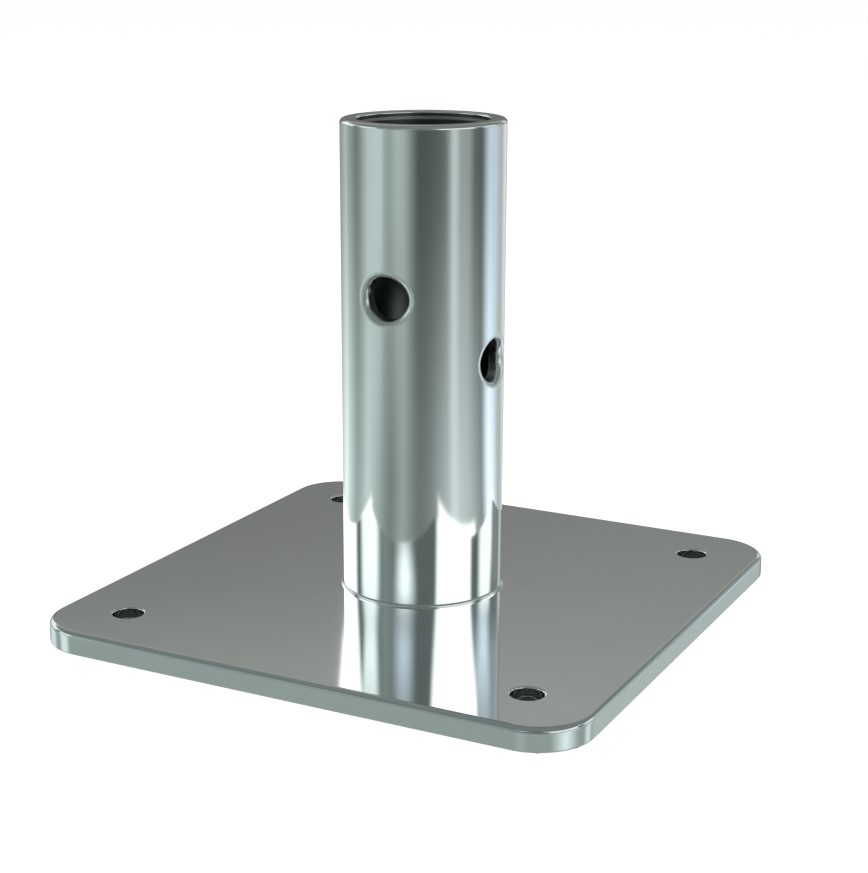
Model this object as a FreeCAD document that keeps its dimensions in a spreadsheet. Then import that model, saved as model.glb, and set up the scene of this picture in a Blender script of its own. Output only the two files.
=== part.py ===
import FreeCAD, Part
import math
import os
import Sketcher
from enum import IntEnum

# Scaffold base plate: a square steel plate with rounded corners and four bolt holes, a cross-drilled
# tube standing on its middle, and the weld run round the tube's foot.
# Millimetres, +Z up. The origin is the middle of the plate's underside, which rests on the ground.

doc = FreeCAD.newDocument("scaffold_base_plate")

# Driving sizes
sheet = doc.addObject("Spreadsheet::Sheet", "Sizes")
DRIVING_SIZES = [
    ("plate_side", 150.0, "length of each side of the square plate"),
    ("plate_thickness", 6.0, "thickness of the plate"),
    ("plate_corner_radius", 14.5, "radius of the plate's corners, seen from above"),
    ("plate_top_rounding", 1.5, "rounding of the plate's upper outline"),
    ("plate_bottom_chamfer", 0.5, "chamfer of the plate's lower outline"),
    ("bolt_hole_diameter", 8.0, "hole for an anchor with an 8 mm sleeve"),
    ("bolt_hole_inset", 18.5, "from the plate's side to the bolt hole's axis"),
    ("bolt_hole_chamfer", 0.5, "chamfer of the bolt hole's upper rim"),
    ("tube_diameter", 42.4, "outside diameter of the tube"),
    ("tube_wall", 4.0, "wall of the tube"),
    ("tube_length", 124.0, "length of the tube, from the plate's upper face"),
    ("tube_outer_rounding", 1.1, "rounding of the tube's upper end, outside"),
    ("tube_inner_chamfer", 0.5, "chamfer of the tube's upper end, inside"),
    ("pin_hole_diameter", 11.0, "clearance hole for a 10 mm pin"),
    ("pin_hole_drop", 43.0, "from the tube's upper end to the upper pin hole's axis"),
    ("pin_hole_spacing", 17.5, "from the upper pin hole's axis down to the lower one's"),
    ("pin_hole_rounding", 1.7, "rounding of the pin hole's rim on the outside of the tube"),
    ("weld_width", 0.6, "how far the weld stands out from the tube"),
    ("weld_height", 1.2, "height of the weld on the tube"),
]
for row, (alias, value, meaning) in enumerate(DRIVING_SIZES, start=1):
    sheet.set(f"A{row}", alias)
    sheet.set(f"B{row}", str(value))
    sheet.set(f"C{row}", meaning)
    sheet.setAlias(f"B{row}", alias)
doc.recompute()

# How close a point must lie to a surface to count as on it, and the least volume that a cut takes off
ON_SURFACE = 1e-4
LEAST_CUT = 1e-3

# How far from a pin hole's axis its rims are looked for, as a share of the hole's radius
RIM_REACH = 1.1

NORMAL = FreeCAD.Vector(0, 0, 1)
FULL_TURN = 360
BOLT_HOLE_COUNT = 4
# Angle across the cone that breaks the upper rim of each bolt hole
BOLT_HOLE_CONE = 90


class On(IntEnum):
    """The points of a line, arc or circle in a sketch."""
    START = 1
    END = 2
    CENTRE = 3


class Axis(IntEnum):
    """The two axes of a sketch, of which the first also holds its origin."""
    ACROSS = -1
    UP = -2


ORIGIN_POINT = (Axis.ACROSS, On.START)


def size(alias):
    """The number in the sheet's cell of that name."""
    return float(sheet.get(alias))


def origin_element(body, role):
    """One of the body's own origin planes or axes."""
    return next(part for part in body.Origin.OriginFeatures if part.Role == role)


def new_body(label, height=None):
    """A body for one piece, standing at the height that an expression gives."""
    body = doc.addObject("PartDesign::Body", label)
    body.Label = label
    if height:
        body.setExpression("Placement.Base.z", height)
    return body


def new_sketch(body, name, plane, offset=None):
    """A sketch on one of the body's origin planes, moved along its normal by an expression."""
    sketch = body.newObject("Sketcher::SketchObject", name)
    sketch.AttachmentSupport = [(origin_element(body, plane), "")]
    sketch.MapMode = "FlatFace"
    if offset:
        sketch.setExpression("AttachmentOffset.Base.z", offset)
    return sketch


def drive(sketch, constraint, name, expression):
    """Adds a named constraint to the sketch and ties it to the sheet."""
    index = sketch.addConstraint(constraint)
    sketch.renameConstraint(index, name)
    sketch.setExpression(f"Constraints.{name}", expression)


def edge_names(feature, is_wanted):
    """Names of the feature's edges that pass the test."""
    edges = enumerate(feature.Shape.Edges, start=1)
    return [f"Edge{number}" for number, edge in edges if is_wanted(edge)]


def dress_edges(body, kind, name, is_wanted, amount):
    """Rounds or chamfers the edges of the body so far that pass the test, as far as an expression says."""
    doc.recompute()
    base = body.Tip
    names = edge_names(base, is_wanted)
    if not names:
        raise RuntimeError(f"{name}: no such edge")
    dressing = body.newObject(f"PartDesign::{kind}", name)
    dressing.Base = (base, names)
    dressing.setExpression("Radius" if kind == "Fillet" else "Size", amount)
    doc.recompute()


def check_cut(feature, volume_before):
    """A cut that points away from the piece takes nothing off, so the volumes are compared."""
    doc.recompute()
    if feature.Shape.Volume > volume_before - LEAST_CUT:
        raise RuntimeError(f"{feature.Name}: nothing was cut")


def is_flat_at(edge, height):
    """True for an edge that lies level at that height."""
    box = edge.BoundBox
    return abs(box.ZMin - height) < ON_SURFACE and abs(box.ZMax - height) < ON_SURFACE


def is_circle(edge, radius):
    """True for a round edge of that radius."""
    return isinstance(edge.Curve, Part.Circle) and abs(edge.Curve.Radius - radius) < ON_SURFACE


def point(x, y):
    """A point in a sketch's plane."""
    return FreeCAD.Vector(x, y, 0)


def add_rounded_square(sketch):
    """Square outline about the origin: four sides joined by quarter-circle corners."""
    half = size("plate_side") / 2
    radius = size("plate_corner_radius")
    flat = half - radius
    # The outline runs counter-clockwise from the lower side: side, corner, side, corner
    sides = [
        (point(-flat, -half), point(flat, -half)),
        (point(half, -flat), point(half, flat)),
        (point(flat, half), point(-flat, half)),
        (point(-half, flat), point(-half, -flat)),
    ]
    corner_centres = [point(flat, -flat), point(flat, flat), point(-flat, flat), point(-flat, -flat)]
    lines = [sketch.addGeometry(Part.LineSegment(start, end)) for start, end in sides]
    arcs = []
    for turn, centre in enumerate(corner_centres, start=-1):
        circle = Part.Circle(centre, NORMAL, radius)
        arc = Part.ArcOfCircle(circle, turn * math.pi / 2, (turn + 1) * math.pi / 2)
        arcs.append(sketch.addGeometry(arc))
    for number, arc in enumerate(arcs):
        next_line = lines[(number + 1) % len(lines)]
        sketch.addConstraint(Sketcher.Constraint("Tangent", lines[number], On.END, arc, On.START))
        sketch.addConstraint(Sketcher.Constraint("Tangent", arc, On.END, next_line, On.START))
    lower, right, upper, left = lines
    sketch.addConstraint(Sketcher.Constraint("Horizontal", lower))
    sketch.addConstraint(Sketcher.Constraint("Horizontal", upper))
    sketch.addConstraint(Sketcher.Constraint("Vertical", right))
    sketch.addConstraint(Sketcher.Constraint("Vertical", left))
    for arc in arcs[1:]:
        sketch.addConstraint(Sketcher.Constraint("Equal", arcs[0], arc))
    # Two opposite corner centres mirror each other through the origin
    sketch.addConstraint(Sketcher.Constraint("Symmetric", arcs[0], On.CENTRE, arcs[2], On.CENTRE, *ORIGIN_POINT))
    drive(sketch, Sketcher.Constraint("Radius", arcs[0], radius),
          "corner_radius", "Sizes.plate_corner_radius")
    drive(sketch, Sketcher.Constraint("DistanceX", left, On.START, right, On.START, 2 * half),
          "side_across", "Sizes.plate_side")
    drive(sketch, Sketcher.Constraint("DistanceY", lower, On.START, upper, On.START, 2 * half),
          "side_along", "Sizes.plate_side")


# Base plate, lying on the ground
plate = new_body("base_plate")
outline = new_sketch(plate, "plate_outline", "XY_Plane")
add_rounded_square(outline)
slab = plate.newObject("PartDesign::Pad", "plate_slab")
slab.Profile = outline
slab.setExpression("Length", "Sizes.plate_thickness")
dress_edges(plate, "Fillet", "plate_top_edge",
            lambda edge: is_flat_at(edge, size("plate_thickness")), "Sizes.plate_top_rounding")
dress_edges(plate, "Chamfer", "plate_bottom_edge",
            lambda edge: is_flat_at(edge, 0.0), "Sizes.plate_bottom_chamfer")

# One bolt hole is drilled down from the upper face near a corner, and turned into four
hole_reach = size("plate_side") / 2 - size("bolt_hole_inset")
bolt_sketch = new_sketch(plate, "bolt_hole_centre", "XY_Plane", "Sizes.plate_thickness")
bolt_circle = bolt_sketch.addGeometry(
    Part.Circle(point(hole_reach, hole_reach), NORMAL, size("bolt_hole_diameter") / 2))
for direction in ("DistanceX", "DistanceY"):
    drive(bolt_sketch, Sketcher.Constraint(direction, *ORIGIN_POINT, bolt_circle, On.CENTRE, hole_reach),
          f"hole_{direction[-1].lower()}", "Sizes.plate_side / 2 - Sizes.bolt_hole_inset")
drive(bolt_sketch, Sketcher.Constraint("Diameter", bolt_circle, size("bolt_hole_diameter")),
      "hole_diameter", "Sizes.bolt_hole_diameter")
doc.recompute()
slab_volume = plate.Tip.Shape.Volume
bolt_hole = plate.newObject("PartDesign::Hole", "bolt_hole")
bolt_hole.Profile = bolt_sketch
bolt_hole.DepthType = "ThroughAll"
bolt_hole.setExpression("Diameter", "Sizes.bolt_hole_diameter")
bolt_hole.HoleCutType = "Countersink"
bolt_hole.HoleCutCountersinkAngle = BOLT_HOLE_CONE
bolt_hole.setExpression("HoleCutDiameter", "Sizes.bolt_hole_diameter + 2 * Sizes.bolt_hole_chamfer")
check_cut(bolt_hole, slab_volume)
bolt_holes = plate.newObject("PartDesign::PolarPattern", "bolt_holes")
bolt_holes.Originals = [bolt_hole]
bolt_holes.Axis = (origin_element(plate, "Z_Axis"), [""])
bolt_holes.Angle = FULL_TURN
bolt_holes.Occurrences = BOLT_HOLE_COUNT
plate.Tip = bolt_holes
check_cut(bolt_holes, bolt_hole.Shape.Volume)

# Tube, whose foot stands on the plate's upper face
tube = new_body("socket_tube", "Sizes.plate_thickness")
outer_radius = size("tube_diameter") / 2
inner_radius = outer_radius - size("tube_wall")
section = new_sketch(tube, "tube_section", "XY_Plane")
for name, radius, expression in (
        ("outer_diameter", outer_radius, "Sizes.tube_diameter"),
        ("inner_diameter", inner_radius, "Sizes.tube_diameter - 2 * Sizes.tube_wall")):
    ring = section.addGeometry(Part.Circle(point(0, 0), NORMAL, radius))
    section.addConstraint(Sketcher.Constraint("Coincident", ring, On.CENTRE, *ORIGIN_POINT))
    drive(section, Sketcher.Constraint("Diameter", ring, 2 * radius), name, expression)
wall = tube.newObject("PartDesign::Pad", "tube_wall")
wall.Profile = section
wall.setExpression("Length", "Sizes.tube_length")
for kind, name, radius, amount in (
        ("Fillet", "tube_outer_lip", outer_radius, "Sizes.tube_outer_rounding"),
        ("Chamfer", "tube_inner_lip", inner_radius, "Sizes.tube_inner_chamfer")):
    dress_edges(tube, kind, name,
                lambda edge: is_circle(edge, radius) and is_flat_at(edge, size("tube_length")), amount)


def drill_pin_hole(name, plane, height, height_expression):
    """Pin hole square to the plane, through both walls of the tube, with rounded rims outside."""
    sketch = new_sketch(tube, f"{name}_centre", plane)
    radius = size("pin_hole_diameter") / 2
    circle = sketch.addGeometry(Part.Circle(point(0, height), NORMAL, radius))
    sketch.addConstraint(Sketcher.Constraint("PointOnObject", circle, On.CENTRE, Axis.UP))
    drive(sketch, Sketcher.Constraint("DistanceY", *ORIGIN_POINT, circle, On.CENTRE, height),
          "hole_height", height_expression)
    drive(sketch, Sketcher.Constraint("Diameter", circle, 2 * radius),
          "hole_diameter", "Sizes.pin_hole_diameter")
    doc.recompute()
    volume_before = tube.Tip.Shape.Volume
    hole = tube.newObject("PartDesign::Pocket", name)
    hole.Profile = sketch
    hole.Type = "ThroughAll"
    hole.Midplane = True
    check_cut(hole, volume_before)

    def is_rim(edge):
        """True for the saddle-shaped edge where the hole breaks the tube's outside."""
        box = edge.BoundBox
        first, last = edge.ParameterRange
        on_outside = all(
            abs(edge.valueAt(place).distanceToLine(FreeCAD.Vector(), NORMAL) - outer_radius) < ON_SURFACE
            for place in (first, (2 * first + last) / 3, (first + 2 * last) / 3, last))
        reach = RIM_REACH * radius
        return on_outside and box.ZMin > height - reach and box.ZMax < height + reach

    dress_edges(tube, "Fillet", f"{name}_rims", is_rim, "Sizes.pin_hole_rounding")


upper_height = size("tube_length") - size("pin_hole_drop")
lower_height = upper_height - size("pin_hole_spacing")
drill_pin_hole("upper_pin_hole", "XZ_Plane", upper_height, "Sizes.tube_length - Sizes.pin_hole_drop")
drill_pin_hole("lower_pin_hole", "YZ_Plane", lower_height,
               "Sizes.tube_length - Sizes.pin_hole_drop - Sizes.pin_hole_spacing")

# Weld bead: a narrow section with a sloping top, in the corner between tube and plate, turned once
# round the tube's foot
bead = new_body("weld_bead", "Sizes.plate_thickness")
bead_sketch = new_sketch(bead, "weld_section", "XZ_Plane")
width, height = size("weld_width"), size("weld_height")
corners = [point(outer_radius, 0), point(outer_radius + width, 0),
           point(outer_radius + width, height - width), point(outer_radius, height)]
foot_line, side_line, slope_line, back_line = (
    bead_sketch.addGeometry(Part.LineSegment(corner, corners[(number + 1) % len(corners)]))
    for number, corner in enumerate(corners))
for line, next_line in ((foot_line, side_line), (side_line, slope_line), (slope_line, back_line),
                        (back_line, foot_line)):
    bead_sketch.addConstraint(Sketcher.Constraint("Coincident", line, On.END, next_line, On.START))
bead_sketch.addConstraint(Sketcher.Constraint("PointOnObject", foot_line, On.START, Axis.ACROSS))
bead_sketch.addConstraint(Sketcher.Constraint("Horizontal", foot_line))
bead_sketch.addConstraint(Sketcher.Constraint("Vertical", side_line))
bead_sketch.addConstraint(Sketcher.Constraint("Vertical", back_line))
drive(bead_sketch, Sketcher.Constraint("DistanceX", *ORIGIN_POINT, foot_line, On.START, outer_radius),
      "tube_radius", "Sizes.tube_diameter / 2")
drive(bead_sketch, Sketcher.Constraint("DistanceX", foot_line, On.START, foot_line, On.END, width),
      "bead_width", "Sizes.weld_width")
drive(bead_sketch, Sketcher.Constraint("DistanceY", back_line, On.END, back_line, On.START, height),
      "bead_height", "Sizes.weld_height")
drive(bead_sketch,
      Sketcher.Constraint("DistanceY", side_line, On.START, side_line, On.END, height - width),
      "side_height", "Sizes.weld_height - Sizes.weld_width")
bead_ring = bead.newObject("PartDesign::Revolution", "bead_ring")
bead_ring.Profile = bead_sketch
bead_ring.ReferenceAxis = (origin_element(bead, "Z_Axis"), [""])
bead_ring.Angle = FULL_TURN

# Every feature must have built, and every piece must be one sound solid, before anything is written
doc.recompute()
for feature in doc.Objects:
    if "Invalid" in feature.State or "Error" in feature.State:
        raise RuntimeError(f"{feature.Label}: {feature.State}")
for sketch in doc.findObjects("Sketcher::SketchObject"):
    if sketch.solve() != 0 or not sketch.FullyConstrained:
        raise RuntimeError(f"{sketch.Label} is not fully constrained")
pieces = [plate, tube, bead]
for piece in pieces:
    if piece.Shape.isNull() or not piece.Shape.isValid() or len(piece.Shape.Solids) != 1:
        raise RuntimeError(f"{piece.Label} is not one valid solid")
os.makedirs("parts", exist_ok=True)
for piece in pieces:
    piece.Shape.exportStep(f"parts/{piece.Label}.step")
    box = piece.Shape.optimalBoundingBox(False, False)
    print(f"{piece.Label}: {piece.Shape.Volume:.1f} mm3, {box.XLength:.2f} x {box.YLength:.2f} mm,"
          f" z {box.ZMin:.2f} to {box.ZMax:.2f}")
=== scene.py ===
import math

import bpy
from mathutils import Matrix, Vector
from mathutils.geometry import tessellate_polygon


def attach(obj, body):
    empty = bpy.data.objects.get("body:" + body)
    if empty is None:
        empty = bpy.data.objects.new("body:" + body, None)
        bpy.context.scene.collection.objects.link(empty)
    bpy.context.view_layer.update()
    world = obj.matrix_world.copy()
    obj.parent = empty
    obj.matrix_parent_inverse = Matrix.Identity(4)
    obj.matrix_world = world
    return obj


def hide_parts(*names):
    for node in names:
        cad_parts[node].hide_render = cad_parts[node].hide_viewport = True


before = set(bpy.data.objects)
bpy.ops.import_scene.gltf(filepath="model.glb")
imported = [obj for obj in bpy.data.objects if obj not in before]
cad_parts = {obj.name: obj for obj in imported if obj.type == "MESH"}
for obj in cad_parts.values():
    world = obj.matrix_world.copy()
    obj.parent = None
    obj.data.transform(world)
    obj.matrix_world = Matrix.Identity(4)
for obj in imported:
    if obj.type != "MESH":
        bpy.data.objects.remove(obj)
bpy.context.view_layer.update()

# Millimetres to metres
MM = 0.001

# Sizes of the base plate, as in the CAD source
SIDE, THICK, CORNER = 150 * MM, 6 * MM, 14.5 * MM
TOP_ROUND, FOOT_ROUND = 1.5 * MM, 0.5 * MM
BOLT_RADIUS, BOLT_REACH, BOLT_ROUND = 4.0 * MM, 56.5 * MM, 0.5 * MM
BOLT_FOOT_ROUND = 0.2 * MM
# Sizes of the tube, its pin holes and the weld
OUTER, BORE = 21.2 * MM, 17.2 * MM
TUBE_TOP = 130 * MM
OUTER_LIP, INNER_LIP = 1.1 * MM, 0.5 * MM
PIN_RADIUS, PIN_LIP, PIN_INNER_LIP = 5.5 * MM, 1.7 * MM, 0.3 * MM
UPPER_PIN, LOWER_PIN = 87 * MM, 69.5 * MM
WELD_WIDTH, WELD_HEIGHT = 0.6 * MM, 1.2 * MM

# The photograph's camera
AZIMUTH, ELEVATION, ROLL = 28.038, 16.653, -0.092
TARGET = Vector((-6.925, 0, 33.424)) * MM
DISTANCE = 496.57 * MM
FRAME_WIDTH, FRAME_HEIGHT, SENSOR = 868, 873, 36
FOCAL_PIXELS, CENTRE_X, CENTRE_Y = 1850.662, 399.77, 481.239
CLIP_NEAR, CLIP_FAR = 0.01, 100

UP = Vector((0, 0, 1))
# Signs of X and Y at the plate's corners, counter-clockwise
CORNERS = ((1, 1), (-1, 1), (-1, -1), (1, -1))


def add_camera():
    """The camera, at the photograph's viewing angle."""
    azimuth, elevation, roll = (math.radians(a) for a in (AZIMUTH, ELEVATION, ROLL))
    back = Vector((math.sin(azimuth) * math.cos(elevation), -math.cos(azimuth) * math.cos(elevation),
                   math.sin(elevation)))
    level = Vector((math.cos(azimuth), math.sin(azimuth), 0))
    over = back.cross(level)
    right = math.cos(roll) * level + math.sin(roll) * over
    top = back.cross(right)
    data = bpy.data.cameras.new("camera")
    data.sensor_width = SENSOR
    data.lens = FOCAL_PIXELS / FRAME_HEIGHT * SENSOR
    data.shift_x = (FRAME_WIDTH / 2 - CENTRE_X) / FRAME_HEIGHT
    data.shift_y = (CENTRE_Y - FRAME_HEIGHT / 2) / FRAME_HEIGHT
    data.clip_start, data.clip_end = CLIP_NEAR, CLIP_FAR
    camera = bpy.data.objects.new("camera", data)
    bpy.context.scene.collection.objects.link(camera)
    camera.matrix_world = Matrix.Translation(TARGET + back * DISTANCE) @ Matrix(
        (right, top, back)).transposed().to_4x4()
    bpy.context.scene.camera = camera


add_camera()


# Meshes whose corners carry the exact surface normal, so that mirror-like metal shows no facets
class Skin:
    """Faces with a normal for each of their corners. Corners at one place share one vertex.

    New faces get the material whose number is the current finish.
    """

    # Corners closer than this lie at one place
    GRAIN = 1e-7

    def __init__(self):
        self.points = []
        self.place = {}
        self.faces = []
        self.normals = []
        self.finish = 0
        self.finishes = []

    def vertex(self, point):
        key = tuple(round(value / self.GRAIN) for value in point)
        if key not in self.place:
            self.place[key] = len(self.points)
            self.points.append(tuple(point))
        return self.place[key]

    def face(self, corners):
        """One face of (point, normal) corners, counter-clockwise seen from outside."""
        kept, used = [], set()
        for point, normal in corners:
            index = self.vertex(point)
            if index not in used:
                used.add(index)
                kept.append((index, tuple(normal)))
        if len(kept) > 2:
            self.faces.append([index for index, _ in kept])
            self.finishes.append(self.finish)
            self.normals.extend(normal for _, normal in kept)

    def sheet(self, rings):
        """Quads between rings of corners, from each ring to the next."""
        for first, second in zip(rings, rings[1:]):
            for i in range(len(first)):
                j = (i + 1) % len(first)
                self.face([first[i], first[j], second[j], second[i]])

    def flat(self, loops, normal):
        """A flat face inside the first loop of points and outside the others."""
        points = [point for loop in loops for point in loop]
        for triangle in tessellate_polygon(loops):
            a, b, c = (points[i] for i in triangle)
            corners = [(a, normal), (b, normal), (c, normal)]
            if (b - a).cross(c - a).dot(normal) < 0:
                corners.reverse()
            self.face(corners)

    def make(self, name, node):
        """The piece, which stands for its CAD node."""
        mesh = bpy.data.meshes.new(name)
        mesh.from_pydata(self.points, [], self.faces)
        mesh.polygons.foreach_set("material_index", self.finishes)
        mesh.shade_smooth()
        mesh.normals_split_custom_set(self.normals)
        piece = bpy.data.objects.new(name, mesh)
        bpy.context.scene.collection.objects.link(piece)
        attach(piece, "root")
        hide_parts(node)
        return piece


def arc(centre, radius, first, last, steps):
    """Points (across, up) and directions (across, up) along an arc, between two angles in degrees."""
    made = []
    for i in range(steps + 1):
        angle = math.radians(first + (last - first) * i / steps)
        across, up = math.cos(angle), math.sin(angle)
        made.append((centre[0] + radius * across, centre[1] + radius * up, across, up))
    return made


def turned(row, steps, centre=(0.0, 0.0)):
    """A ring of corners about an upright axis, for one (radius, height, out, up) of a profile."""
    radius, height, out, up = row
    ring = []
    for i in range(steps):
        angle = 2 * math.pi * i / steps
        x, y = math.cos(angle), math.sin(angle)
        ring.append((Vector((centre[0] + radius * x, centre[1] + radius * y, height)),
                     Vector((out * x, out * y, up))))
    return ring


# Base plate: how many steps each round stretch takes
CORNER_STEPS, BOLT_STEPS = 40, 96
FOOT_STEPS, EDGE_STEPS = 5, 14
BOLT_RIM_STEPS, BOLT_FOOT_STEPS = 8, 3


def square_ring(row):
    """A ring of corners round the rounded square, for one (inset, height, out, up) of the edge's profile."""
    inset, height, out, up = row
    reach = SIDE / 2 - CORNER
    radius = CORNER - inset
    ring = []
    for quarter, (sx, sy) in enumerate(CORNERS):
        for i in range(CORNER_STEPS + 1):
            angle = math.pi / 2 * (quarter + i / CORNER_STEPS)
            x, y = math.cos(angle), math.sin(angle)
            ring.append((Vector((sx * reach + radius * x, sy * reach + radius * y, height)),
                         Vector((out * x, out * y, up))))
    return ring


def edge_profile():
    """The plate's edge from its foot up: rounded foot, upright side, rounded top."""
    foot = arc((0, FOOT_ROUND), FOOT_ROUND, -90, 0, FOOT_STEPS)
    top = arc((0, THICK - TOP_ROUND), TOP_ROUND, 0, 90, EDGE_STEPS)
    rows = [(FOOT_ROUND - x, y, out, up) for x, y, out, up in foot]
    return rows + [(TOP_ROUND - x, y, out, up) for x, y, out, up in top]


def build_plate():
    """The plate with its four bolt holes."""
    skin = Skin()
    rings = [square_ring(row) for row in edge_profile()]
    skin.sheet(rings)
    rim = arc((BOLT_RADIUS + BOLT_ROUND, THICK - BOLT_ROUND), BOLT_ROUND, 90, 180, BOLT_RIM_STEPS)
    foot = arc((BOLT_RADIUS + BOLT_FOOT_ROUND, BOLT_FOOT_ROUND), BOLT_FOOT_ROUND, 180, 270, BOLT_FOOT_STEPS)
    feet, rims = [], []
    for sx, sy in CORNERS:
        hole = [turned(row, BOLT_STEPS, (sx * BOLT_REACH, sy * BOLT_REACH)) for row in rim + foot]
        skin.sheet(hole)
        rims.append([point for point, _ in hole[0]])
        feet.append([point for point, _ in hole[-1]])
    skin.flat([[point for point, _ in rings[-1]], *rims], UP)
    skin.flat([[point for point, _ in rings[0]], *feet], -UP)
    return skin.make("plate", "base_plate")


# Tube: the walls are a grid round the axis, left open at the patches round the pin holes
TURN_STEPS = 240
STEP_ANGLE = 2 * math.pi / TURN_STEPS
# A patch: half its width in grid steps, its rows, half its height and the rings that fill it
PATCH_HALF_STEPS = 20
PATCH_ROWS = 20
PATCH_HALF_HEIGHT = (UPPER_PIN - LOWER_PIN) / 2
PATCH_RINGS = 8
# Steps of the lips of the tube's end, of the pin holes' lips outside and in the bore, and of the weld's face
OUTER_LIP_STEPS, INNER_LIP_STEPS = 12, 8
PIN_LIP_STEPS, PIN_INNER_LIP_STEPS = 12, 3
WELD_STEPS = 16
# Numbers of the tube's materials: its outside, its bore (darkened with painted shade), the lips of the pin
# holes, their walls (darkened with painted shade) and a lighter band round the bore close under its mouth,
# between two heights, which is a painted reflection
BRIGHT, DULL_SHADED, LIP, DRILLED_SHADED, MOUTH_REFLECTION = 0, 1, 2, 3, 4
BAND_FOOT, BAND_TOP = 127.9 * MM, 128.7 * MM
# Each pin hole: its height and the grid steps at which it leaves the tube
PIN_HOLES = ((UPPER_PIN, (TURN_STEPS // 4, 3 * TURN_STEPS // 4)), (LOWER_PIN, (0, TURN_STEPS // 2)))


def on_wall(radius, angle, height, sense):
    """A corner on the tube's outside (sense 1) or bore (sense -1)."""
    x, y = math.cos(angle), math.sin(angle)
    return Vector((radius * x, radius * y, height)), Vector((sense * x, sense * y, 0))


def patch_border():
    """Angles and heights round a pin hole's patch, from its middle, counter-clockwise seen from outside."""
    left, right = -PATCH_HALF_STEPS, PATCH_HALF_STEPS
    rows = [-PATCH_HALF_HEIGHT + 2 * PATCH_HALF_HEIGHT * i / PATCH_ROWS for i in range(PATCH_ROWS + 1)]
    border = [(right, z) for z in rows[:-1]]
    border += [(s, rows[-1]) for s in range(right, left, -1)]
    border += [(left, z) for z in reversed(rows[1:])]
    border += [(s, rows[0]) for s in range(left, right)]
    return [(s * STEP_ANGLE, z) for s, z in border]


def lip_section(turn, wall_radius, lip, sense):
    """Where a ball of the lip's radius, rolled round the pin hole's rim, touches wall and hole.

    Gives the ball's centre and the two directions, in a frame whose X runs along the hole.
    """
    reach = PIN_RADIUS + lip
    across, up = math.cos(turn), math.sin(turn)
    track = wall_radius - sense * lip
    depth = math.sqrt(track ** 2 - (reach * across) ** 2)
    centre = Vector((depth, reach * across, reach * up))
    to_hole = Vector((0, -across, -up))
    to_wall = Vector((depth, reach * across, 0)) * (sense / track)
    return centre, to_hole, to_wall


def blend_directions(first, second, share):
    """The direction that lies that share of the way round from the first to the second."""
    angle = math.acos(max(-1.0, min(1.0, first.dot(second))))
    return (first * math.sin((1 - share) * angle) + second * math.sin(share * angle)) / math.sin(angle)


def rolled_lips(turns):
    """Rings of corners down a pin hole that runs along X: its outer lip, its wall and its inner lip."""
    sections = []
    for turn in turns:
        section = []
        centre, to_hole, to_wall = lip_section(turn, OUTER, PIN_LIP, 1)
        for i in range(PIN_LIP_STEPS + 1):
            way = blend_directions(to_wall, to_hole, i / PIN_LIP_STEPS)
            section.append((centre + PIN_LIP * way, way))
        centre, to_hole, to_wall = lip_section(turn, BORE, PIN_INNER_LIP, -1)
        for i in range(PIN_INNER_LIP_STEPS + 1):
            way = blend_directions(to_hole, to_wall, i / PIN_INNER_LIP_STEPS)
            section.append((centre + PIN_INNER_LIP * way, way))
        sections.append(section)
    return list(zip(*sections))


def patch(radius, sense, border, rim, middle, height):
    """Rings of corners on a wall, from the border of a pin hole's patch to the hole's rim.

    The middle is the angle at which the hole leaves the tube.
    """
    rings = []
    for share in (i / PATCH_RINGS for i in range(PATCH_RINGS + 1)):
        ring = []
        for (s, z), (point, _) in zip(border, rim):
            rim_s = math.atan2(point.y, point.x) - middle
            rim_s = (rim_s + math.pi) % (2 * math.pi) - math.pi
            rim_z = point.z - height
            angle = middle + s + (rim_s - s) * share
            ring.append(on_wall(radius, angle, height + z + (rim_z - z) * share, sense))
        rings.append(ring)
    rings[-1] = [(point, normal) for (point, _), (_, normal) in zip(rim, rings[-1])]
    return rings


def pin_hole(skin, height, step):
    """One end of a pin hole: the patch of both walls round it, its lips and its own wall."""
    middle = step * STEP_ANGLE
    turn_to = Matrix.Rotation(middle, 3, "Z")
    lift = Vector((0, 0, height))
    border = patch_border()
    lips = rolled_lips([math.atan2(z, OUTER * s) for s, z in border])
    rings = [[(turn_to @ point + lift, turn_to @ normal) for point, normal in ring] for ring in lips]
    skin.finish = BRIGHT
    skin.sheet(patch(OUTER, 1, border, rings[0], middle, height))
    # The bore round the hole takes the material darkened with painted shade
    skin.finish = DULL_SHADED
    skin.sheet(patch(BORE, -1, border, rings[-1], middle, height)[::-1])
    skin.finish = LIP
    skin.sheet(rings[:PIN_LIP_STEPS + 1])
    # The hole's own wall takes the material darkened with painted shade
    skin.finish = DRILLED_SHADED
    skin.sheet(rings[PIN_LIP_STEPS:])


def in_patch(cell, exits):
    """Whether a grid cell lies in the patch round one of the steps at which a pin hole leaves the tube."""
    half_turn = TURN_STEPS / 2
    away = (abs((cell + 0.5 - step + half_turn) % TURN_STEPS - half_turn) for step in exits)
    return any(steps < PATCH_HALF_STEPS for steps in away)


def wall(skin, radius, low, high, sense):
    """The tube's outside or bore, from one height to another, with the patches of the pin holes left out."""
    bands = [(low, LOWER_PIN - PATCH_HALF_HEIGHT, 1, ())]
    for height, exits in reversed(PIN_HOLES):
        bands.append((height - PATCH_HALF_HEIGHT, height + PATCH_HALF_HEIGHT, PATCH_ROWS, exits))
    bands.append((UPPER_PIN + PATCH_HALF_HEIGHT, high, 1, ()))
    for bottom, top, count, exits in bands:
        for row in range(count):
            z0, z1 = (bottom + (top - bottom) * (row + i) / count for i in (0, 1))
            for cell in range(TURN_STEPS):
                if in_patch(cell, exits):
                    continue
                a0, a1 = cell * STEP_ANGLE, (cell + 1) * STEP_ANGLE
                corners = [on_wall(radius, a, z, sense) for a, z in ((a0, z0), (a1, z0), (a1, z1), (a0, z1))]
                skin.face(corners if sense > 0 else corners[::-1])


def bore_ring(height):
    """A ring of corners on the bore."""
    return turned((BORE, height, -1, 0), TURN_STEPS)


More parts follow.
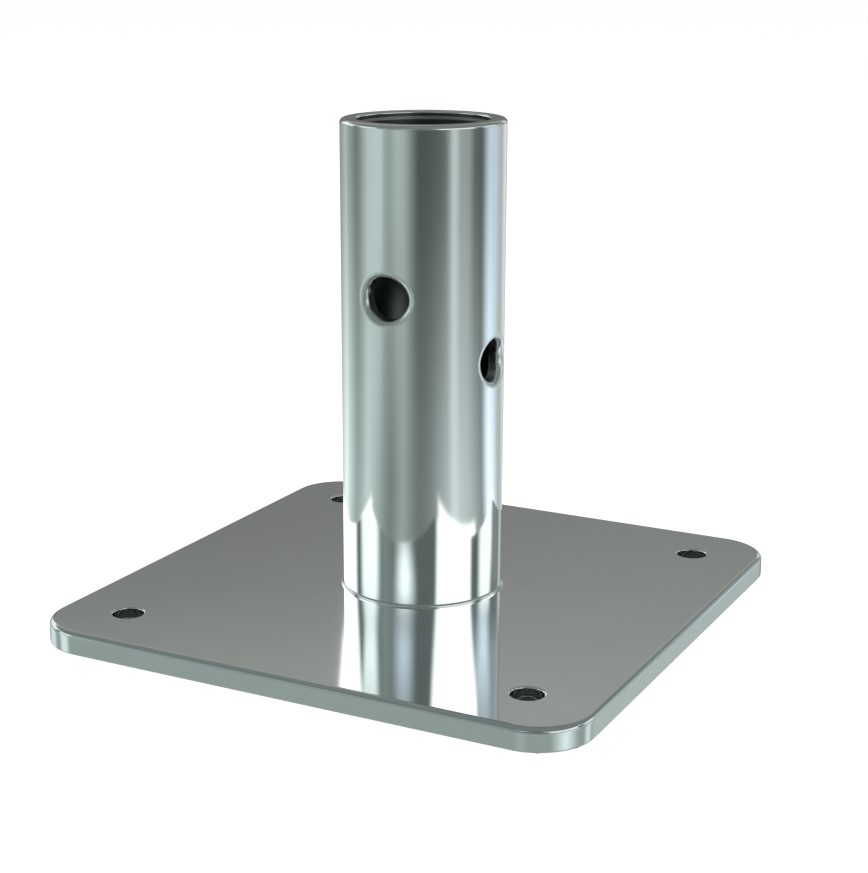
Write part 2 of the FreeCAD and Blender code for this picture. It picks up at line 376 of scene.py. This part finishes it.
def build_tube():
    """The tube with its pin holes."""
    skin = Skin()
    wall(skin, OUTER, THICK, TUBE_TOP - OUTER_LIP, 1)
    lips = arc((OUTER - OUTER_LIP, TUBE_TOP - OUTER_LIP), OUTER_LIP, 0, 90, OUTER_LIP_STEPS)
    lips += arc((BORE + INNER_LIP, TUBE_TOP - INNER_LIP), INNER_LIP, 90, 180, INNER_LIP_STEPS)
    skin.sheet([turned(row, TURN_STEPS) for row in lips])
    # The bore takes the material darkened with painted shade
    skin.finish = DULL_SHADED
    wall(skin, BORE, THICK, BAND_FOOT, -1)
    skin.sheet([bore_ring(TUBE_TOP - INNER_LIP), bore_ring(BAND_TOP)])
    # A narrow band under the mouth takes the lighter material, a painted reflection
    skin.finish = MOUTH_REFLECTION
    skin.sheet([bore_ring(BAND_TOP), bore_ring(BAND_FOOT)])
    skin.finish = BRIGHT
    skin.sheet([turned(row, TURN_STEPS) for row in ((BORE, THICK, 0, -1), (OUTER, THICK, 0, -1))])
    for height, exits in PIN_HOLES:
        for step in exits:
            pin_hole(skin, height, step)
    return skin.make("tube", "socket_tube")


def build_weld():
    """The weld run: a narrow bulging ring in the corner between tube and plate."""
    skin = Skin()
    edge, top = OUTER + WELD_WIDTH, THICK + WELD_HEIGHT
    face = []
    for _, _, across, up in arc((0, 0), 1, 0, 90, WELD_STEPS):
        out = Vector((across * WELD_HEIGHT, up * WELD_WIDTH)).normalized()
        face.append((OUTER + WELD_WIDTH * across, THICK + WELD_HEIGHT * up, out.x, out.y))
    skin.sheet([turned(row, TURN_STEPS) for row in face])
    skin.sheet([turned(row, TURN_STEPS) for row in ((OUTER, top, -1, 0), (OUTER, THICK, -1, 0))])
    skin.sheet([turned(row, TURN_STEPS) for row in ((OUTER, THICK, 0, -1), (edge, THICK, 0, -1))])
    return skin.make("weld", "weld_bead")


plate, tube, weld = build_plate(), build_tube(), build_weld()
# The photograph's plate mirrors the tube without its weld
weld.visible_glossy = False


# Materials
def tinted(tint, strength):
    return tuple(part * strength for part in tint)


class Nodes:
    """Short calls to add and link nodes in a material."""

    def __init__(self, tree):
        self.tree = tree
        tree.nodes.clear()

    def add(self, kind, **values):
        node = self.tree.nodes.new(kind)
        for name, value in values.items():
            setattr(node, name, value)
        return node

    def link(self, source, target):
        self.tree.links.new(source, target)

    def math(self, operation, *inputs):
        node = self.add("ShaderNodeMath", operation=operation)
        for socket, value in zip(node.inputs, inputs):
            if isinstance(value, (int, float)):
                socket.default_value = value
            else:
                self.link(value, socket)
        return node.outputs[0]

    def between(self, value, low, high, first, second):
        """A smooth change from the first number to the second as the value goes from low to high."""
        node = self.add("ShaderNodeMapRange", interpolation_type="SMOOTHSTEP")
        for name, number in (("From Min", low), ("From Max", high), ("To Min", first), ("To Max", second)):
            node.inputs[name].default_value = number
        self.link(value, node.inputs["Value"])
        return node.outputs[0]


# Unevenness of zinc: clouds of a darker tint, which clear between two levels of a noise, and a roughness that
# varies by a share of itself. Scale and detail are those of the noise
CLOUD_TINT, CLOUD_LEVELS = 0.97, (0.3, 0.7)
CLOUD_SCALE, CLOUD_DETAIL = 60.0, 3.0
ROUGH_SPREAD = 0.15
ROUGH_SCALE, ROUGH_DETAIL = 140.0, 4.0


def zinc(name, colour, roughness):
    """Bright zinc plate: a mirror finish with the faint unevenness of the steel under it."""
    material = bpy.data.materials.new(name)
    material.use_nodes = True
    nodes = Nodes(material.node_tree)
    out = nodes.add("ShaderNodeOutputMaterial")
    shader = nodes.add("ShaderNodeBsdfPrincipled")
    nodes.link(shader.outputs["BSDF"], out.inputs["Surface"])
    shader.inputs["Metallic"].default_value = 1.0
    place = nodes.add("ShaderNodeTexCoord").outputs["Object"]

    def noise(scale, detail):
        node = nodes.add("ShaderNodeTexNoise")
        node.inputs["Scale"].default_value = scale
        node.inputs["Detail"].default_value = detail
        nodes.link(place, node.inputs["Vector"])
        return node.outputs["Fac"]

    tint = nodes.add("ShaderNodeValToRGB")
    for element, position, share in zip(tint.color_ramp.elements, CLOUD_LEVELS, (CLOUD_TINT, 1)):
        element.position = position
        element.color = (*tinted(colour, share), 1)
    nodes.link(noise(CLOUD_SCALE, CLOUD_DETAIL), tint.inputs["Fac"])
    nodes.link(tint.outputs["Color"], shader.inputs["Base Color"])
    rough = nodes.add("ShaderNodeMapRange")
    rough.inputs["To Min"].default_value = roughness * (1 - ROUGH_SPREAD)
    rough.inputs["To Max"].default_value = roughness * (1 + ROUGH_SPREAD)
    nodes.link(noise(ROUGH_SCALE, ROUGH_DETAIL), rough.inputs["Value"])
    nodes.link(rough.outputs["Result"], shader.inputs["Roughness"])
    return material


PLATE_COLOUR, PLATE_ROUGHNESS = (0.72, 0.75, 0.74), 0.04
TUBE_COLOUR = (0.74, 0.77, 0.76)
# Each piece's materials: name, colour and roughness. The tube's are in the order of their numbers
FINISHES = (
    (plate, (("plate_zinc", PLATE_COLOUR, PLATE_ROUGHNESS),)),
    (tube, (("tube_zinc", TUBE_COLOUR, 0.07),
            # The bore: its dark colour is painted shade of the tube's inside
            ("bore_zinc_shaded", (0.18, 0.19, 0.19), 0.3),
            ("lip_zinc", TUBE_COLOUR, 0.28),
            # The pin holes' walls: their darker colour is painted shade of the holes
            ("drilled_zinc_shaded", (0.40, 0.42, 0.41), 0.35),
            # The band under the bore's mouth: its lighter colour is a painted reflection of light in the far
            # inner wall
            ("mouth_painted_reflection", (0.52, 0.54, 0.53), 0.5))),
    (weld, (("weld_zinc", (0.70, 0.73, 0.72), 0.12),)),
)


def add_finishes():
    """Gives each piece its materials, and the CAD's nodes the plate's."""
    for piece, finishes in FINISHES:
        for name, colour, roughness in finishes:
            piece.data.materials.append(zinc(name, colour, roughness))
    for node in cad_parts.values():
        node.data.materials.clear()
        node.data.materials.append(bpy.data.materials["plate_zinc"])


add_finishes()


# Studio. Bearings are degrees from the camera's own direction, growing towards the picture's right.
CAMERA_BEARING = AZIMUTH - 90
STUDIO_RADIUS = 3.0
STRIP_RADIUS = 2.9
WHITE, WARM, BLUISH = (1, 1, 1), (0.97, 1, 0.96), (0.92, 1, 1.01)
GREENISH, LILAC = (0.87, 1.03, 1.01), (0.87, 1, 1.16)

# Share of a strip's light that metal mirrors where the camera sees it directly. In full, the strong strips
# would bleach the whole plate from some sides, so that its outline is lost on the white floor. Strips of no
# share light only the tube as the plate mirrors it, and the plate as the tube does.
FULL, HALF, NONE = 1, 0.5, 0
# Strip lights: tint, softness of the sides, share, and from low to high the elevation, the bearings of both
# sides and the strength
STRIPS = (
    # At the tube's left side, and one that goes on from it round to the back
    (WHITE, 12, HALF, ((0, -152, -112, 0), (8, -152, -112, 1.8), (20, -152, -112, 1.8), (25, -156, -98, 1.8),
                       (29, -156, -98, 0.2), (35, -156, -98, 0))),
    (WHITE, 12, NONE, ((16, -178, -152, 0), (17, -178, -152, 1.8), (25, -178, -152, 1.8),
                       (27, -178, -152, 0))),
    # Between the left side and the middle, with a dim one beside it
    (BLUISH, 14, HALF, ((0, -99, -68, 0), (8, -99, -68, 1.75), (20, -99, -68, 1.75), (21, -92, -73, 1.15),
                        (22.3, -96, -71, 1.6), (23.5, -100, -70, 1.15), (25, -100, -69, 1.1),
                        (29, -99, -69, 0.2), (35, -99, -69, 0))),
    (GREENISH, 40, FULL, ((-5, -66, -46, 0), (5, -66, -46, 0.22), (24, -66, -46, 0.22), (30, -66, -46, 0))),
    # Just left of the tube's middle: one in the shape of a candle flame, and its weaker upper part
    (BLUISH, 20, HALF, ((17, -32, -24, 0), (17.8, -32, -24, 0.5), (18.8, -35, -18, 1.9),
                        (20.1, -37, -14, 2.1), (20.5, -39, -16, 0.3), (20.7, -39, -17, 0))),
    (LILAC, 20, FULL, ((20.6, -39, -17, 0), (21, -39, -17, 0.35), (22, -39, -17, 0.95), (24, -39, -17, 0.4),
                       (30, -39, -17, 0))),
    # The wide one, right of the middle
    (WHITE, 8, HALF, ((0, 21, 74, 0), (8, 21, 74, 1.8), (20.5, 19, 73, 1.8), (23.3, 13, 84, 1.8),
                      (24.2, 12, 88, 1.8), (26, 10, 88, 1.8), (30, 10, 88, 0.3), (36, 10, 88, 0))),
    # Toward the tube's right side: a strong one, its weaker upper part and the haze round it
    (WHITE, 12, HALF, ((0, 89, 119, 0), (8, 89, 119, 1.6), (18.5, 89, 118, 1.6), (20.3, 89, 114, 1.6),
                       (20.8, 90, 109, 0.15), (21, 90, 109, 0))),
    (LILAC, 20, FULL, ((20.4, 90, 108, 0), (20.7, 90, 108, 0.25), (21, 90, 109, 0.75), (21.5, 90, 111, 0.95),
                       (22.2, 89, 112, 0.8), (22.9, 85, 116, 0.6), (23.6, 84, 118, 0.42),
                       (24.2, 84, 118, 0.26), (30, 84, 118, 0.1), (36, 84, 118, 0))),
    (LILAC, 14, NONE, ((20.4, 80, 150, 0), (21.4, 80, 150, 0.16), (22.2, 80, 150, 0.3), (24.2, 80, 150, 0.3),
                       (30, 80, 150, 0.2), (36, 80, 150, 0))),
    # Two dim ones at the tube's right side
    (GREENISH, 30, FULL, ((-5, 120, 136, 0), (5, 120, 136, 0.25), (19.5, 120, 136, 0.25),
                          (20.5, 120, 136, 0))),
    (BLUISH, 12, FULL, ((0, 146, 158, 0), (8, 146, 158, 0.7), (20.5, 142, 158, 0.5), (21.5, 142, 158, 0.1),
                        (22, 142, 158, 0))),
    # A narrow one at the back, which widens the tube's mirror image toward the plate's front edge
    (WHITE, 0.1, HALF, ((20.2, 179, 182.09, 0), (20.6, 179, 182.16, 2.8), (22, 179, 182.36, 2.8),
                        (23.4, 179, 182.5, 2.8), (24, 179, 182.54, 2.8), (25.5, 179, 182.54, 0))),
)
# Glow on the room's lower half, which only the plate's sides mirror: tint, bearings of both sides, softness
# and strength, and how much of the strength each elevation has
LOW_GLOWS = (
    (GREENISH, -148, -116, 14, 0.5),
    (GREENISH, -98, -78, 14, 0.6),
    (GREENISH, -38, -22, 10, 0.08),
    (GREENISH, 38, 64, 40, 0.75),
    (BLUISH, 96, 112, 14, 0.5),
    (BLUISH, 119, 144, 12, 0.18),
)
LOW_ENDS = ((-45, 0), (-28, 1), (-8, 1), (0, 0))
CARD_COLUMNS = 60

# The room's own light in front: below the horizon, what it loses across it and what it gains high up, and
# the elevations between which it does so
FRONT_BELOW, FRONT_LOSS, FRONT_GAIN = 0.42, 0.22, 0.05
HORIZON, HIGH_UP = (-6, 6), (30, 50)
# Its light at the back by elevation, right and left of the middle, seen from the object
BACK_RIGHT = ((6, 0.16), (17, 0.28), (19, 0.31), (25, 0.42), (35, 0.38), (55, 0.2), (90, 0.2))
BACK_LEFT = ((6, 0.16), (17, 0.23), (19, 0.25), (24, 0.4), (50, 0.38), (70, 0.2), (90, 0.2))
# Bearings between which its front turns into its back, and the back's right into its left
FRONT_TO_BACK, RIGHT_TO_LEFT = (125, 165), (168, 192)
# Degrees between the points of the room
BEARING_STEP, ELEVATION_STEP = 5, 2

# The strips' glow on the studio's ground: tint, bearing, half width, softness of the sides, and strength near
# the object and far from it
GLOWS = (
    (WHITE, -155, 25, 10, 0.35, 0.2),
    (GREENISH, -127, 13, 60, 0.95, 0.45),
    (GREENISH, -81, 11, 32, 0.6, 0.6),
    (GREENISH, -61, 10, 24, 0.2, 0.55),
    (GREENISH, -40, 8, 14, 0.0, 0.3),
    (GREENISH, -27, 8, 28, 0.25, 0.45),
    (GREENISH, 42, 5, 11, 0.2, 0.3),
    (BLUISH, 50, 26, 52, 0.5, 0.1),
    (BLUISH, 50, 18, 14, 0.0, 0.22),
    (LILAC, 99, 8, 10, 0.18, 0.06),
    (LILAC, 105, 11, 21, 1.02, 0.65),
    (LILAC, 121, 8, 16, 0.3, 0.35),
    (WHITE, 150, 13, 60, 0.7, 1.0),
)
GROUND_NEAR, GROUND_FAR = 0.24, 0.11
# The near strength holds up to one radius and the far strength from the other on
NEAR_RADIUS, FAR_RADIUS = 0.12, 1.17
# The ground spreads from inside the plate's outline to the studio's wall, in rings that grow evenly
GROUND_HALF = 0.068
GROUND_RINGS = 24
# Heights of the ground and of what is spilled on it, and the step between the cards that lie on each other
GROUND_LIFT, SPILL_LIFT = 0.4 * MM, 1.6 * MM
LAYER = 0.08 * MM
# Light spilled on the ground close round the plate: bearings of both sides, softness, half the side of the
# square up to which it reaches, and strength
SPILLS = (
    (-150, -120, 12, 0.093, 0.3),
    (-91, -73, 12, 0.090, 1.2),
    (20, 72, 8, 0.098, 1.2),
    (99, 115, 12, 0.090, 0.4),
)
# It fades over this distance to both sides of that square
SPILL_FADE = 0.004
# How far the covers of the bolt holes lie over the plate and reach past the holes' rims
COVER_MARGIN = 0.05 * MM
# Rays of up to the first length see through the ground and from the second on see it, so that the plate's own
# low sides mirror the room below it
SIDE_REACH = (0.03, 0.055)


def smooth(value, low, high):
    """0 up to the low value, 1 from the high one on, and a smooth rise between them."""
    share = min(1.0, max(0.0, (value - low) / (high - low)))
    return share * share * (3 - 2 * share)


def mirrored_only(name, mesh):
    """A stage object that only the metal's mirror images show."""
    made = bpy.data.objects.new(name, mesh)
    bpy.context.scene.collection.objects.link(made)
    made.visible_camera = False
    made.visible_diffuse = False
    made.visible_transmission = False
    made.visible_volume_scatter = False
    made.visible_shadow = False


def card(name, rows, glows, material):
    """A stage mesh for the metal to mirror: no camera, floor or shadow takes anything from it.

    It is made of rows of points, each with the colour and strength of its light.
    """
    across = len(rows[0])
    faces = []
    for r in range(len(rows) - 1):
        for c in range(across - 1):
            corners = ((r, c), (r, c + 1), (r + 1, c + 1), (r + 1, c))
            faces.append([i * across + j for i, j in corners])
    mesh = bpy.data.meshes.new(name)
    mesh.from_pydata([point for row in rows for point in row], [], faces)
    layer = mesh.attributes.new("glow", "FLOAT_VECTOR", "POINT")
    for item, value in zip(layer.data, (value for row in glows for value in row)):
        item.vector = value
    mesh.materials.append(material)
    mirrored_only(name, mesh)


def clear_when_close(nodes, surface):
    """The surface, but clear to rays that came from close by."""
    mix = nodes.add("ShaderNodeMixShader")
    length = nodes.add("ShaderNodeLightPath").outputs["Ray Length"]
    nodes.link(nodes.between(length, *SIDE_REACH, 0, 1), mix.inputs[0])
    nodes.link(nodes.add("ShaderNodeBsdfTransparent").outputs[0], mix.inputs[1])
    nodes.link(surface, mix.inputs[2])
    return mix.outputs[0]


def card_material(name, added, far_only, first_share=FULL):
    """Light from a card's own values. A card with added light lets what is behind it through.

    One that is far only is clear to rays that came from close by. Metal that the camera sees directly
    mirrors only the first share of the light, and what that metal mirrors gets all of it.
    """
    material = bpy.data.materials.new(name)
    material.use_nodes = True
    material.cycles.emission_sampling = "NONE"
    nodes = Nodes(material.node_tree)
    out = nodes.add("ShaderNodeOutputMaterial")
    glow = nodes.add("ShaderNodeEmission")
    values = nodes.add("ShaderNodeAttribute", attribute_name="glow")
    nodes.link(values.outputs["Vector"], glow.inputs["Color"])
    if first_share < FULL:
        depth = nodes.add("ShaderNodeLightPath").outputs["Ray Depth"]
        nodes.link(nodes.between(depth, 1, 2, first_share, FULL), glow.inputs["Strength"])
    surface = glow.outputs[0]
    if added:
        both = nodes.add("ShaderNodeAddShader")
        nodes.link(surface, both.inputs[0])
        nodes.link(nodes.add("ShaderNodeBsdfTransparent").outputs[0], both.inputs[1])
        surface = both.outputs[0]
    if far_only:
        surface = clear_when_close(nodes, surface)
    nodes.link(surface, out.inputs["Surface"])
    return material


def sky_point(radius, bearing, elevation):
    a, e = math.radians(CAMERA_BEARING + bearing), math.radians(elevation)
    return (radius * math.cos(a) * math.cos(e), radius * math.sin(a) * math.cos(e), radius * math.sin(e))


def on_square(half, bearing):
    """How far the outline of a square of that half side lies from its middle."""
    a = math.radians(CAMERA_BEARING + bearing)
    return half / max(abs(math.cos(a)), abs(math.sin(a)))


def soft_columns(left, right, soft):
    """Bearings across a card, each with its share of the light, which fades smoothly to both sides."""
    first, last = left - soft / 2, right + soft / 2
    bearings = [first + (last - first) * i / CARD_COLUMNS for i in range(CARD_COLUMNS + 1)]
    return [(b, smooth(min(b - first, last - b), 0, soft)) for b in bearings]


def stepped(value, steps):
    """The level at a value, from steps of (value, level) with straight lines between them."""
    for (low, first), (high, last) in zip(steps, steps[1:]):
        if value < high:
            return first + (last - first) * max(0.0, value - low) / (high - low)
    return steps[-1][1]


def room_level(bearing, elevation):
    """The room's own light: dim in front above the ground, and brightest at the back some way up."""
    left = smooth(bearing % 360, *RIGHT_TO_LEFT)
    behind = smooth(abs((bearing + 180) % 360 - 180), *FRONT_TO_BACK)
    front = FRONT_BELOW - FRONT_LOSS * smooth(elevation, *HORIZON) + FRONT_GAIN * smooth(elevation, *HIGH_UP)
    back = stepped(elevation, BACK_RIGHT) * (1 - left) + stepped(elevation, BACK_LEFT) * left
    level = front + (back - front) * behind
    tint = tuple(f + (b - f) * behind for f, b in zip(GREENISH, WARM))
    return tinted(tint, level)


def strip(name, tint, soft, stations, material):
    """A strip light on the sky, through stations of (elevation, left, right, strength)."""
    rows, glows = [], []
    for elevation, left, right, strength in stations:
        columns = soft_columns(left, right, soft)
        rows.append([sky_point(STRIP_RADIUS, bearing, elevation) for bearing, _ in columns])
        glows.append([tinted(tint, strength * share) for _, share in columns])
    card(name, rows, glows, material)


def ground(name, tint, columns, level, lift, material):
    """A card on the studio's ground. The level gives the light at a radius."""
    rows, glows = [], []
    for i in range(GROUND_RINGS + 1):
        row, glow = [], []
        for bearing, share in columns:
            start = on_square(GROUND_HALF, bearing)
            radius = start * (STUDIO_RADIUS / start) ** (i / GROUND_RINGS)
            row.append((*sky_point(radius, bearing, 0)[:2], lift))
            glow.append(tinted(tint, level(radius) * share))
        rows.append(row)
        glows.append(glow)
    card(name, rows, glows, material)


def near_to_far(near, far):
    """A level that goes from the near strength to the far one as the radius grows."""
    def level(radius):
        return near + (far - near) * smooth(math.log(radius), math.log(NEAR_RADIUS), math.log(FAR_RADIUS))
    return level


def cover_bolt_holes():
    """Zinc discs over the bolt holes, as the photograph's tube mirrors the plate without its holes.

    The holes' own rims and walls see through them.
    """
    material = bpy.data.materials.new("cover")
    material.use_nodes = True
    nodes = Nodes(material.node_tree)
    out = nodes.add("ShaderNodeOutputMaterial")
    shader = nodes.add("ShaderNodeBsdfAnisotropic")
    shader.inputs["Color"].default_value = (*PLATE_COLOUR, 1)
    shader.inputs["Roughness"].default_value = PLATE_ROUGHNESS
    nodes.link(clear_when_close(nodes, shader.outputs[0]), out.inputs["Surface"])
    radius = BOLT_RADIUS + BOLT_ROUND + COVER_MARGIN
    for number, (sx, sy) in enumerate(CORNERS, start=1):
        rim = turned((radius, THICK + COVER_MARGIN, 0, 1), BOLT_STEPS, (sx * BOLT_REACH, sy * BOLT_REACH))
        mesh = bpy.data.meshes.new(f"cover_{number}")
        mesh.from_pydata([point for point, _ in rim], [], [tuple(range(BOLT_STEPS))])
        mesh.materials.append(material)
        mirrored_only(f"cover_{number}", mesh)


def add_studio():
    """A grey room round the object, a ring of strip lights in it, and their glow on its ground."""
    bearings = range(0, 360 + 1, BEARING_STEP)
    elevations = range(-90, 90 + 1, ELEVATION_STEP)
    card("room", [[sky_point(STUDIO_RADIUS, b, e) for b in bearings] for e in elevations],
         [[room_level(b, e) for b in bearings] for e in elevations], card_material("room", False, False))
    shares = {share: card_material(name, True, False, share)
              for name, share in (("strips", FULL), ("half_strips", HALF), ("deep_strips", NONE))}
    for number, (tint, soft, share, stations) in enumerate(STRIPS, start=1):
        strip(f"strip_{number}", tint, soft, stations, shares[share])
    for number, (tint, left, right, soft, strength) in enumerate(LOW_GLOWS, start=1):
        stations = [(elevation, left, right, strength * share) for elevation, share in LOW_ENDS]
        strip(f"low_glow_{number}", tint, soft, stations, shares[FULL])
    ground("ground", GREENISH, [(b, 1) for b in bearings], near_to_far(GROUND_NEAR, GROUND_FAR), GROUND_LIFT,
           card_material("ground", False, True))
    added = card_material("glows", True, True)
    for number, (tint, bearing, half, soft, near, far) in enumerate(GLOWS, start=1):
        columns = soft_columns(bearing - half, bearing + half, soft)
        ground(f"glow_{number}", tint, columns, near_to_far(near, far), GROUND_LIFT + number * LAYER, added)
    for number, (left, right, soft, half, strength) in enumerate(SPILLS, start=1):
        columns = soft_columns(left, right, soft)
        lift = SPILL_LIFT + number * LAYER
        steps = ((GROUND_HALF, 1), (half - SPILL_FADE, 1), (half + SPILL_FADE, 0))
        rows = [[(*sky_point(on_square(reach, b), b, 0)[:2], lift) for b, _ in columns] for reach, _ in steps]
        glows = [[tinted(WHITE, strength * share * level) for _, share in columns] for _, level in steps]
        card(f"spill_{number}", rows, glows, added)


add_studio()
cover_bolt_holes()


# Floor and background
FLOOR_RADIUS = 12.0
FLOOR_STEPS = 64
# The floor's paint, and its glow for what sees it directly
FLOOR_PAINT, FLOOR_GLOW = 0.3, 0.88
# The patch under the plate, where no light reaches the floor: half its side, how low it lies and its paint
SHADED_HALF, SHADED_DROP, SHADED_PAINT = 73.5 * MM, 0.2 * MM, 0.05
# The plate's underside mirrors the room through that patch
TOUCHING = 1 * MM
# The world's light on matt surfaces, and the lamp's width, power and height
WORLD_LEVEL = 0.36
LAMP_SIZE, LAMP_POWER, LAMP_HEIGHT = 1.2, 18, 1.4


def seen_directly(nodes):
    """1 for rays from the camera, from mirror-like metal and through glass."""
    path = nodes.add("ShaderNodeLightPath")
    both = nodes.math("MAXIMUM", path.outputs["Is Camera Ray"], path.outputs["Is Glossy Ray"])
    return nodes.math("MAXIMUM", both, path.outputs["Is Transmission Ray"])


def floor_material(name, colour, glow_strength, clear_reach):
    """Matt paint that also glows for what sees it directly.

    It is clear from below, and to metal that is closer to it than the reach.
    """
    material = bpy.data.materials.new(name)
    material.use_nodes = True
    material.cycles.emission_sampling = "NONE"
    nodes = Nodes(material.node_tree)
    out = nodes.add("ShaderNodeOutputMaterial")
    paint = nodes.add("ShaderNodeBsdfDiffuse")
    paint.inputs["Color"].default_value = (colour, colour, colour, 1)
    glow = nodes.add("ShaderNodeEmission")
    nodes.link(nodes.math("MULTIPLY", seen_directly(nodes), glow_strength), glow.inputs["Strength"])
    both = nodes.add("ShaderNodeAddShader")
    nodes.link(paint.outputs[0], both.inputs[0])
    nodes.link(glow.outputs[0], both.inputs[1])
    path = nodes.add("ShaderNodeLightPath")
    close = nodes.math("LESS_THAN", path.outputs["Ray Length"], clear_reach)
    close_metal = nodes.math("MULTIPLY", close, path.outputs["Is Glossy Ray"])
    below = nodes.add("ShaderNodeNewGeometry").outputs["Backfacing"]
    mix = nodes.add("ShaderNodeMixShader")
    nodes.link(nodes.math("MAXIMUM", below, close_metal), mix.inputs[0])
    nodes.link(both.outputs[0], mix.inputs[1])
    nodes.link(nodes.add("ShaderNodeBsdfTransparent").outputs[0], mix.inputs[2])
    nodes.link(mix.outputs[0], out.inputs["Surface"])
    return material


def add_floor():
    """A white floor that keeps the object's shadow, with the dark patch of it that the plate covers."""
    turns = [2 * math.pi * (i + 0.5) / FLOOR_STEPS for i in range(FLOOR_STEPS)]
    reach = [1 / max(abs(math.cos(a)), abs(math.sin(a))) for a in turns]
    square = [(SHADED_HALF * k * math.cos(a), SHADED_HALF * k * math.sin(a), 0) for a, k in zip(turns, reach)]
    ring = [(FLOOR_RADIUS * math.cos(a), FLOOR_RADIUS * math.sin(a), 0) for a in turns]
    nexts = [(i + 1) % FLOOR_STEPS for i in range(FLOOR_STEPS)]
    around = [(i, FLOOR_STEPS + i, FLOOR_STEPS + j, j) for i, j in enumerate(nexts)]
    shaded = [(x, y, -SHADED_DROP) for x, y, _ in square]
    white_paint = floor_material("floor_white", FLOOR_PAINT, FLOOR_GLOW, SIDE_REACH[1])
    shaded_paint = floor_material("floor_shaded", SHADED_PAINT, 0, TOUCHING)
    for name, points, faces, material in (
            ("floor", square + ring, around, white_paint),
            ("floor_under_plate", shaded, [tuple(range(FLOOR_STEPS))], shaded_paint)):
        mesh = bpy.data.meshes.new(name)
        mesh.from_pydata(points, [], faces)
        mesh.materials.append(material)
        floor = bpy.data.objects.new(name, mesh)
        bpy.context.scene.collection.objects.link(floor)


def add_light():
    """A plain soft room: an even white world and one wide lamp overhead."""
    world = bpy.data.worlds.new("studio")
    bpy.context.scene.world = world
    world.use_nodes = True
    nodes = Nodes(world.node_tree)
    out = nodes.add("ShaderNodeOutputWorld")
    sky = nodes.add("ShaderNodeBackground")
    level = nodes.add("ShaderNodeMapRange")
    sky.inputs["Color"].default_value = (1, 1, 1, 1)
    level.inputs["To Min"].default_value = WORLD_LEVEL
    level.inputs["To Max"].default_value = 1.0
    nodes.link(seen_directly(nodes), level.inputs["Value"])
    nodes.link(level.outputs[0], sky.inputs["Strength"])
    nodes.link(sky.outputs[0], out.inputs["Surface"])
    data = bpy.data.lights.new("overhead", "AREA")
    data.shape = "DISK"
    data.size = LAMP_SIZE
    data.energy = LAMP_POWER
    lamp = bpy.data.objects.new("overhead", data)
    lamp.location = (0, 0, LAMP_HEIGHT)
    lamp.visible_glossy = False
    bpy.context.scene.collection.objects.link(lamp)


add_floor()
add_light()
bpy.context.scene.view_settings.view_transform = "Standard"
